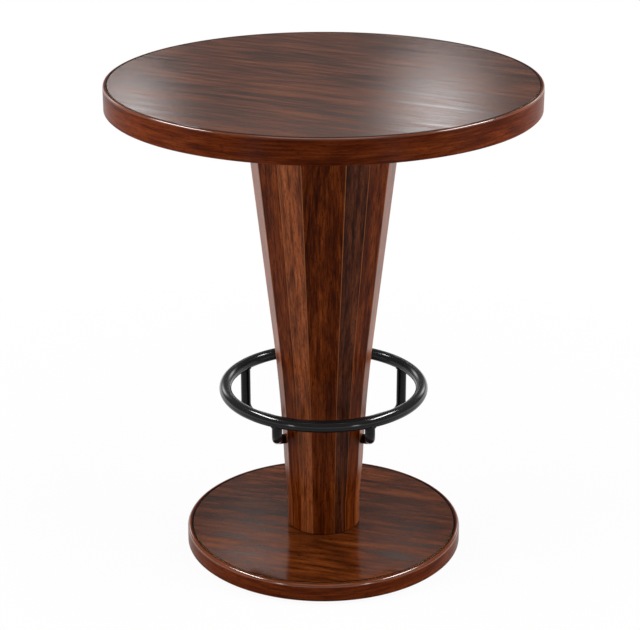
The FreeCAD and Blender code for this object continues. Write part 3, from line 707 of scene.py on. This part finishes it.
sideways = radius * swing.maths("SINE")
fibre_place = stave_tree.node(
    "ShaderNodeCombineXYZ", None, {"X": rise + size["Plank"], "Y": sideways + size["Plank"], "Z": radius}
)
planked = stave_tree.node(
    "GeometryNodeStoreNamedAttribute", {"data_type": "FLOAT_VECTOR", "domain": "POINT"},
    {"Geometry": block, "Name": "grain", "Value": fibre_place},
)
edged = stave_tree.node(
    "GeometryNodeStoreNamedAttribute", {"data_type": "FLOAT", "domain": "POINT"},
    {"Geometry": planked, "Name": "arris", "Value": across.maths("ABSOLUTE") / UNIT_HALF},
)
bent = stave_tree.node("GeometryNodeSetPosition", None, {
    "Geometry": edged,
    "Position": stave_tree.node("ShaderNodeCombineXYZ", None, {
        "X": radius * bearing.maths("COSINE"),
        "Y": radius * bearing.maths("SINE"),
        "Z": rise + size["Foot Height"],
    }),
})
close_rule(stave_tree, bent, size["Finish"])
print("stave tree:", len(stave_tree.node_tree.nodes), "nodes")

# %% [markdown]
# ## Tones of the staves
# The boards were cut from different planks, so a lighter one stands beside a darker one, and that makes
# the facets readable. Three finishes share the wood function and differ only in their colours and their
# shine. Along each arris a lighter colour under a thin clear coat is painted in as a highlight line up
# each joint. A near-black line at the foot is painted shade where the column meets the base, and one red
# board has a small knot below the ring.

# %% Stave finishes
STAVE_STOPS = {
    "stave_red": (
        (0.24, (0.016, 0.0022, 0.0002)),
        (0.44, (0.044, 0.0070, 0.0008)),
        (0.60, (0.088, 0.0165, 0.0022)),
        (0.80, (0.150, 0.0340, 0.0055)),
    ),
    "stave_light": (
        (0.24, (0.036, 0.0078, 0.0020)),
        (0.44, (0.096, 0.0222, 0.0054)),
        (0.60, (0.176, 0.0440, 0.0115)),
        (0.80, (0.270, 0.0760, 0.0220)),
    ),
    "stave_dark": (
        (0.24, (0.008, 0.0017, 0.0006)),
        (0.44, (0.024, 0.0055, 0.0018)),
        (0.60, (0.055, 0.0134, 0.0044)),
        (0.80, (0.100, 0.0275, 0.0096)),
    ),
}
STAVE_SHINE = {"stave_red": 0.03, "stave_light": 0.10, "stave_dark": 0.06}
STAVE_GRAIN = {"bands": (0.9, 30.0), "streaks": (2.6, 110.0), "sway": 0.03}
ARRIS_LIMITS = (0.965, 0.985)
# Amount and lighter colour of the painted highlight along the arrises.
ARRIS_HIGHLIGHT_AMOUNT = 0.7
ARRIS_HIGHLIGHT_COLOUR = (0.27, 0.080, 0.018)
ARRIS_POLISH = 0.2
# Where the painted shade line at the column's foot fades out.
FOOT_SHADE_LIMITS = (0.0008, 0.0026)
KNOT_PLACE = (-0.0672, -0.0594, 0.281)
KNOT_STRETCH = (1.0, 1.0, 0.65)
KNOT_SIZE = (0.002, 0.009)
KNOT_DARKNESS = 0.8


def stave_material(slot):
    material, tree = new_material(slot + "_finish")
    place = tree.node("ShaderNodeAttribute", {"attribute_name": "grain"}, output="Vector")
    arris_place = tree.node("ShaderNodeAttribute", {"attribute_name": "arris"}, output="Fac")
    # Painted highlight: a lighter colour under a thin clear coat along each arris draws a bright line up
    # the joint.
    painted_highlight_mask = spread(tree, arris_place, *ARRIS_LIMITS) * ARRIS_HIGHLIGHT_AMOUNT
    where = tree.node("ShaderNodeTexCoord", output="Object")
    _, _, height = axes(tree, where)
    # Painted shade: a near-black line at the column's foot, where it meets the base.
    painted_foot_shade = 1 - spread(tree, height - column_foot, *FOOT_SHADE_LIMITS)
    from_knot = vector_maths(tree, "SUBTRACT", where, KNOT_PLACE)
    from_knot = length(tree, vector_maths(tree, "MULTIPLY", from_knot, KNOT_STRETCH))
    knot = (1 - spread(tree, from_knot, *KNOT_SIZE)) * KNOT_DARKNESS
    wood_finish(
        tree, place, STAVE_STOPS[slot], gloss=LACQUER_GLOSS, shine=STAVE_SHINE[slot],
        painted_highlight=(painted_highlight_mask, ARRIS_HIGHLIGHT_COLOUR, ARRIS_POLISH), painted_shade_and_knot=painted_foot_shade.maths("MAXIMUM", knot),
        **STAVE_GRAIN,
    )
    return material


stave_finishes = {slot: stave_material(slot) for slot in STAVE_STOPS}
print("stave finishes:", *stave_finishes)

# %% [markdown]
# The boards are set round the column one after another, starting with the front one. The record of the
# CAD model says which tone each board has. Each reads its own stretch of plank, so no two boards show
# the same grain, and the bevel modifier eases the arrises as a pass with sandpaper would.

# %% Boards of the column
ARRIS_EASE = 0.0007
FRONT_BEARING = -90.0
PLANK_STEP = 1.37

node_slots = {row["node"]: row["material_slot"] for row in frame["record"]["subparts"]}
stave_bearings = {}
edge_bearing = FRONT_BEARING - STAVE_WIDTHS[0] / 2
for number, width in enumerate(STAVE_WIDTHS, start=1):
    node = f"stave_{number:02d}"
    slot = node_slots[node]
    stave_bearings[number] = edge_bearing + width / 2
    mesh = grow_mesh(node + "_board", stave_tree, {
        "Width Angle": math.radians(width),
        "Bearing": math.radians(stave_bearings[number]),
        "Foot Height": column_foot,
        "Height": column_height,
        "Foot Radius": FOOT_RADIUS,
        "Sweep Rise": SWEEP_RISE,
        "Sweep Radius": sweep_radius,
        "Taper": math.tan(lean),
        "Turned Radius": turned_radius,
        "Round Rise": FOOT_ROUND_RISE,
        "Turning Slope": turning_slope,
        "Turning Rise": FOOT_TURNING_RISE,
        "Hollow Foot": hollow_foot,
        "Hollow Slope": (hollow_top - hollow_foot) / column_height,
        "Plank": number * PLANK_STEP,
        "Finish": stave_finishes[slot],
    }, bevel=ARRIS_EASE)
    place_piece(node + "_board", mesh, node)
    edge_bearing += width
print(len(STAVE_WIDTHS), "staves, each with", len(mesh.polygons), "faces")

# %% [markdown]
# ## Foot ring and brackets
# The ring and its brackets are in black enamel, sprayed on, with the faint unevenness that painters call
# orange peel. Shoes have rubbed the upper side of the ring to a polish, so a mask by height puts a clear
# coat there, and a few cloudy scuffs break it up.

# %% Black enamel
ENAMEL_COLOUR = (0.0048, 0.0048, 0.0052)
ENAMEL_SHINE = 0.14
ENAMEL_POLISH = 0.6
ENAMEL_COAT = {"Coat Roughness": 0.11, "Coat IOR": 1.8}
PEEL_WAVES, PEEL_STRENGTH, PEEL_DEPTH = 420.0, 0.015, 0.0002
CLOUD_WAVES = 26.0
SCUFF_COLOUR = (0.016, 0.0155, 0.015)
SCUFF_LIMITS, SCUFF_AMOUNT = (0.55, 0.75), 0.5
ENAMEL_ROUGHNESS, CLOUD_ROUGHNESS, SCUFF_ROUGHNESS = 0.13, 0.05, 0.10


def cloud_noise(tree, place, waves, detail):
    return tree.node("ShaderNodeTexNoise", None, {"Vector": place, "Scale": waves, "Detail": detail})


def enamel_material(name):
    material, tree = new_material(name)
    place = tree.node("ShaderNodeTexCoord", output="Object")
    peel = cloud_noise(tree, place, PEEL_WAVES, detail=1.0)
    cloud = cloud_noise(tree, place, CLOUD_WAVES, detail=2.0)
    _, _, height = axes(tree, place)
    upper = spread(tree, height, ring_height, ring_height + ring_tube_radius / 2)
    scuff = spread(tree, cloud, *SCUFF_LIMITS) * upper * SCUFF_AMOUNT
    close_material(tree, {
        "Base Color": mix_colour(tree, scuff, ENAMEL_COLOUR, SCUFF_COLOUR),
        "Roughness": cloud * CLOUD_ROUGHNESS + scuff * SCUFF_ROUGHNESS + ENAMEL_ROUGHNESS,
        "Normal": bump(tree, peel, PEEL_STRENGTH, PEEL_DEPTH),
        "Specular IOR Level": ENAMEL_SHINE,
        "Coat Weight": (1 - scuff) * upper * ENAMEL_POLISH,
        **ENAMEL_COAT,
    })
    return material


enamel = enamel_material("black_enamel_finish")
print("enamel:", enamel.name)

# %% [markdown]
# The ring is one steel tube rolled into a circle. That is the sweep of a small circle along a large one,
# which is what Curve to Mesh does, and the tree's inputs are the three sizes that a pipe bender needs.

# %% Ring
RING_STEPS, TUBE_STEPS = 224, 36


def circle_curve(tree, steps, radius):
    return tree.node("GeometryNodeCurvePrimitiveCircle", None, {"Resolution": steps, "Radius": radius})


ring_tree, size = rule_tree("foot_ring_tube", ("Ring Radius", "Ring Height", "Tube Radius"))
tube = ring_tree.node("GeometryNodeCurveToMesh", None, {
    "Curve": circle_curve(ring_tree, RING_STEPS, size["Ring Radius"]),
    "Profile Curve": circle_curve(ring_tree, TUBE_STEPS, size["Tube Radius"]),
})
lifted = ring_tree.node("GeometryNodeSetPosition", None, {
    "Geometry": tube, "Offset": ring_tree.node("ShaderNodeCombineXYZ", None, {"Z": size["Ring Height"]}),
})
close_rule(ring_tree, lifted, size["Finish"])
ring_mesh = grow_mesh("foot_ring_tube", ring_tree, {
    "Ring Radius": ring_radius, "Ring Height": ring_height, "Tube Radius": ring_tube_radius,
    "Finish": enamel,
})
place_piece("foot_ring_tube", ring_mesh, "foot_ring")
print("ring:", len(ring_mesh.polygons), "faces")

# %% [markdown]
# Each bracket is a bent round bar: a post under the ring, and a run into the column. The bracket tree
# takes the corners of a bar as a line of points. Fillet Curve rounds each corner to the radius of the
# bending tool, and a circle is swept along the result. A bead of weld joins the post to the ring and
# follows the saddle where the bar meets the tube. It is a second, thinner sweep, drawn as if the post
# stood on the x axis and then turned to the post's bearing.

# %% Bracket tree
BAR_STEPS, BEND_STEPS, WELD_STEPS, BEAD_STEPS = 28, 14, 56, 12

bracket_tree, size = rule_tree("ring_bracket", (
    "Bar Radius", "Bend Radius", "Bead Radius",
    "Ring Radius", "Ring Height", "Tube Radius", "Post Bearing",
))
bends = bracket_tree.node("GeometryNodeFilletCurve", {"mode": "POLY"}, {
    "Curve": bracket_tree.node("GeometryNodeMeshToCurve", None, {"Mesh": size["Path"]}),
    "Count": BEND_STEPS, "Radius": size["Bend Radius"],
})
bar = bracket_tree.node("GeometryNodeCurveToMesh", None, {
    "Curve": bends, "Profile Curve": circle_curve(bracket_tree, BAR_STEPS, size["Bar Radius"]),
    "Fill Caps": True,
})

spot, _, _ = axes(bracket_tree, bracket_tree.node("GeometryNodeInputPosition"))
saddle = (size["Tube Radius"] ** 2 - spot ** 2).maths("MAXIMUM", 0.0).maths("SQRT")
saddled = bracket_tree.node("GeometryNodeSetPosition", None, {
    "Geometry": circle_curve(bracket_tree, WELD_STEPS, size["Bar Radius"]),
    "Offset": bracket_tree.node(
        "ShaderNodeCombineXYZ", None, {"X": size["Ring Radius"], "Z": size["Ring Height"] - saddle}
    ),
})
bead = bracket_tree.node("GeometryNodeCurveToMesh", None, {
    "Curve": saddled, "Profile Curve": circle_curve(bracket_tree, BEAD_STEPS, size["Bead Radius"]),
})
weld = bracket_tree.node("GeometryNodeTransform", None, {
    "Geometry": bead,
    "Rotation": bracket_tree.node("ShaderNodeCombineXYZ", None, {"Z": size["Post Bearing"]}),
})
joined = bracket_tree.node("GeometryNodeJoinGeometry")
for geometry in (weld, bar):
    bracket_tree.node_tree.links.new(geometry.socket, joined.socket.node.inputs[0])
close_rule(bracket_tree, joined, size["Finish"])
print("bracket tree:", len(bracket_tree.node_tree.nodes), "nodes")

# %% [markdown]
# The two rear brackets are bent once: down from the ring, then straight in to a stave. The two front
# ones are bent twice. Their posts stand nearer to the front, the bars slope back and down beside the
# column, and a second bend turns them in to a stave at the side. From the front little more than the
# post is seen.

# %% Brackets
BAR_RADIUS = 0.011
BEND_RADIUS = 0.022
BEAD_RADIUS = 0.0024
RUN_INSET = 0.010
FRONT_POST_TURN = 27.0
FRONT_ELBOW_HEIGHT = 0.336
FRONT_ELBOW_REACH = 0.040
BRACKETS = {
    "ring_bracket_front_right": (4, FRONT_BEARING + FRONT_POST_TURN),
    "ring_bracket_rear_right": (6, None),
    "ring_bracket_rear_left": (10, None),
    "ring_bracket_front_left": (12, FRONT_BEARING - FRONT_POST_TURN),
}


def round_point(radius, bearing, height):
    """A point at a distance from the table's axis, on a bearing in degrees."""
    return radius * math.cos(math.radians(bearing)), radius * math.sin(math.radians(bearing)), height


run_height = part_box("ring_bracket_rear_right")[0].z + BAR_RADIUS
hollow_at_run = hollow_foot + (run_height - column_foot) / column_height * (hollow_top - hollow_foot)
for node, (number, front_bearing) in BRACKETS.items():
    inward = stave_bearings[number]
    post = inward if front_bearing is None else front_bearing
    corners = [round_point(ring_radius, post, ring_height)]
    if front_bearing is None:
        corners.append(round_point(ring_radius, post, run_height))
    else:
        corners.append(round_point(ring_radius, post, FRONT_ELBOW_HEIGHT))
        corners.append(round_point(hollow_at_run + FRONT_ELBOW_REACH, inward, run_height))
    corners.append(round_point(hollow_at_run + RUN_INSET, inward, run_height))
    mesh = grow_mesh(node + "_bar", bracket_tree, {
        "Bar Radius": BAR_RADIUS, "Bend Radius": BEND_RADIUS, "Bead Radius": BEAD_RADIUS,
        "Ring Radius": ring_radius, "Ring Height": ring_height, "Tube Radius": ring_tube_radius,
        "Post Bearing": math.radians(post), "Finish": enamel,
    }, path=corners)
    place_piece(node + "_bar", mesh, node)
    print(node, "bends:", len(corners) - 2, "faces:", len(mesh.polygons))

# %% [markdown]
# ## Pieces that stay as solids
# The cores, blocks, screws, tie rod, ballast and levelling glides are seen from below or not at all, and
# their solids already have the right shape. They still get finishes of their own: raw ply and birch, a
# sealed backing veneer, zinc plate, primed iron and nylon. The woods use the wood function again. Metal
# and nylon are clouded between two close colours and have a fine tooth.

# %% Finishes of the solids
PLAIN_STOPS = {
    "core_board": ((0.1, (0.30, 0.19, 0.11)), (0.5, (0.42, 0.29, 0.18)), (0.9, (0.52, 0.38, 0.25))),
    "block_timber": ((0.1, (0.36, 0.24, 0.14)), (0.5, (0.48, 0.34, 0.21)), (0.9, (0.58, 0.43, 0.28))),
    "backer": ((0.1, (0.030, 0.013, 0.008)), (0.5, (0.062, 0.026, 0.015)), (0.9, (0.100, 0.044, 0.024))),
}
PLAIN_GRAIN = {"bands": (1.2, 20.0), "streaks": (3.0, 90.0), "gloss": 0.55, "shine": 0.3}
HARD_FINISHES = {
    "zinc_steel": {
        "dark": (0.38, 0.39, 0.42), "light": (0.62, 0.62, 0.60),
        "metallic": 1.0, "roughness": 0.35, "waves": 60,
    },
    "ballast_iron": {
        "dark": (0.022, 0.022, 0.024), "light": (0.050, 0.050, 0.052),
        "metallic": 0.0, "roughness": 0.7, "waves": 90,
    },
    "nylon": {
        "dark": (0.014, 0.014, 0.015), "light": (0.028, 0.028, 0.029),
        "metallic": 0.0, "roughness": 0.5, "waves": 140,
    },
}
CLOUD_LIMITS = (0.3, 0.7)
CLOUD_UNEVENNESS = 0.2
TOOTH_FINENESS, TOOTH_STRENGTH, TOOTH_DEPTH = 14, 0.15, 0.0002


def plain_wood_material(slot):
    material, tree = new_material(slot + "_finish")
    place = tree.node("ShaderNodeTexCoord", output="Object")
    wood_finish(tree, place, PLAIN_STOPS[slot], **PLAIN_GRAIN)
    return material


def hard_material(slot, dark, light, metallic, roughness, waves):
    material, tree = new_material(slot + "_finish")
    place = tree.node("ShaderNodeTexCoord", output="Object")
    cloud = cloud_noise(tree, place, waves, detail=3.0)
    tooth = cloud_noise(tree, place, waves * TOOTH_FINENESS, detail=2.0)
    close_material(tree, {
        "Base Color": mix_colour(tree, spread(tree, cloud, *CLOUD_LIMITS), dark, light),
        "Metallic": metallic,
        "Roughness": cloud * CLOUD_UNEVENNESS + (roughness - CLOUD_UNEVENNESS / 2),
        "Normal": bump(tree, tooth, TOOTH_STRENGTH, TOOTH_DEPTH),
    })
    return material


plain_finishes = {slot: plain_wood_material(slot) for slot in PLAIN_STOPS}
plain_finishes.update({slot: hard_material(slot, **look) for slot, look in HARD_FINISHES.items()})

kept = [name for name, slot in node_slots.items() if slot in plain_finishes]
for name in kept:
    solid = frame["nodes"][name]
    solid.data.materials.clear()
    solid.data.materials.append(plain_finishes[node_slots[name]])
print(len(kept), "solids kept with their own finishes")

# %% [markdown]
# ## Studio
# The picture has a white ground, so the floor is pale and wide. For the camera, and for what mirrors it,
# the floor is mostly a white of strength 1. Near the table a small share of its lit surface is left in,
# so that the soft shadow stays.

# %% Floor
FLOOR_HALF = 40.0
FLOOR_COLOUR = (0.62, 0.62, 0.62, 1.0)
WHITE = (1.0, 1.0, 1.0, 1.0)
SHADOW_SHARE = 0.06
SHADOW_REACH = (0.7, 1.8)


def floor_material():
    material, tree = new_material("pale_floor")
    lit = tree.node("ShaderNodeBsdfDiffuse", None, {"Color": FLOOR_COLOUR})
    white = tree.node("ShaderNodeEmission", None, {"Color": WHITE, "Strength": 1.0})
    distance = length(tree, tree.node("ShaderNodeTexCoord", output="Object"))
    share = (1 - spread(tree, distance, *SHADOW_REACH)) * SHADOW_SHARE
    shown = tree.node("ShaderNodeMixShader", None, [share, white, lit])
    ray = tree.node("ShaderNodeLightPath", output="Is Camera Ray")
    mirrored = ray.other("Is Glossy Ray").maths("MAXIMUM", ray.other("Is Transmission Ray"))
    surface = tree.node("ShaderNodeMixShader", None, [ray.maths("MAXIMUM", mirrored), lit, shown])
    tree.node("ShaderNodeOutputMaterial", None, {"Surface": surface})
    return material


floor_mesh = bpy.data.meshes.new("floor")
floor_corners = [(x * FLOOR_HALF, y * FLOOR_HALF, 0) for x, y in ((-1, -1), (1, -1), (1, 1), (-1, 1))]
floor_mesh.from_pydata(floor_corners, [], [(0, 1, 2, 3)])
floor_mesh.materials.append(floor_material())
floor = bpy.data.objects.new("floor", floor_mesh)
scene.collection.objects.link(floor)
print("floor:", 2 * FLOOR_HALF, "m wide")

# %% [markdown]
# The room above is dim: the tabletop reflects little of it. The world is white near the horizon and dims
# towards the zenith. Ahead it has a few soft glows, like far windows, which the lacquered top, the base
# and the rounded edges mirror as patches of sheen. Each glow is given by two slopes, sideways and
# upwards per metre ahead, by its spread in both, and by its strength.

# %% World
HORIZON_TOP, CEILING_START = 0.02, 0.12
CEILING_LIGHT = 0.16
LEAST_AHEAD = 0.05
WINDOW_GLOWS = (
    (-0.110, 0.272, 0.022, 0.012, 5.6),
    (0.064, 0.269, 0.024, 0.015, 4.4),
    (0.000, 0.285, 0.120, 0.012, 0.5),
    (-0.620, 0.420, 0.200, 0.160, 3.0),
    (0.620, 0.420, 0.200, 0.160, 3.0),
    (-0.045, 0.560, 0.022, 0.022, 6.3),
    (0.050, 0.560, 0.022, 0.022, 3.2),
    (0.000, 0.550, 0.110, 0.050, 0.15),
)

world = bpy.data.worlds.new("studio")
world.use_nodes = True
world.node_tree.nodes.clear()
scene.world = world
room = Tree(world.node_tree)
sideways, ahead, upward = axes(room, room.node("ShaderNodeTexCoord", output="Generated"))
brightness = 1 - spread(room, upward, HORIZON_TOP, CEILING_START) * (1 - CEILING_LIGHT)
in_front = ahead.maths("MAXIMUM", LEAST_AHEAD)
for slant, steepness, wide, tall, strength in WINDOW_GLOWS:
    off_side = (sideways / in_front - slant) / wide
    off_height = (upward / in_front - steepness) / tall
    fall_off = (0 - off_side * off_side - off_height * off_height).maths("EXPONENT")
    brightness = brightness + fall_off * strength
glow = room.node("ShaderNodeBackground", None, {"Color": WHITE, "Strength": brightness})
room.node("ShaderNodeOutputWorld", None, {"Surface": glow})
print("world:", len(WINDOW_GLOWS), "soft glows")

# %% [markdown]
# ## Lamps
# Large soft boxes give soft light. Two stand at the sides and light the staves. Two low strips at the
# front brighten the edge bands. Two long boxes high at the sides draw the bright lines on the shoulders
# of the bands and on the ring, and a weak one hangs over the front. The camera doesn't see them. The two
# large ones are left out of reflections as well, because the lacquered top, seen from the side, would
# mirror each of them as a hard white patch.

# %% Soft boxes
TABLE_MIDDLE = Vector((0.0, 0.0, 0.6))
SOFT_BOXES = (
    ("left_box", (-2.3, -0.7, 1.2), (1.3, 2.0), 58.0, False),
    ("right_box", (2.3, -0.7, 1.2), (1.3, 2.0), 58.0, False),
    ("left_strip", (-1.2, -1.9, 0.45), (0.22, 0.6), 3.0, True),
    ("right_strip", (1.2, -1.9, 0.45), (0.22, 0.6), 3.0, True),
    ("left_crown", (-1.9, 0.2, 3.0), (2.0, 0.30), 50.0, True),
    ("right_crown", (1.9, 0.2, 3.0), (2.0, 0.30), 50.0, True),
    ("over_box", (0.0, -0.5, 3.6), (1.8, 1.8), 14.0, True),
)

for name, place, (width, height), watts, mirrored in SOFT_BOXES:
    lamp = bpy.data.lights.new(name, "AREA")
    lamp.shape = "RECTANGLE"
    lamp.size, lamp.size_y, lamp.energy = width, height, watts
    box = bpy.data.objects.new(name, lamp)
    scene.collection.objects.link(box)
    box.location = place
    box.rotation_euler = (TABLE_MIDDLE - Vector(place)).to_track_quat("-Z", "Y").to_euler()
    box.visible_camera = False
    box.visible_glossy = mirrored
print(len(SOFT_BOXES), "soft boxes")
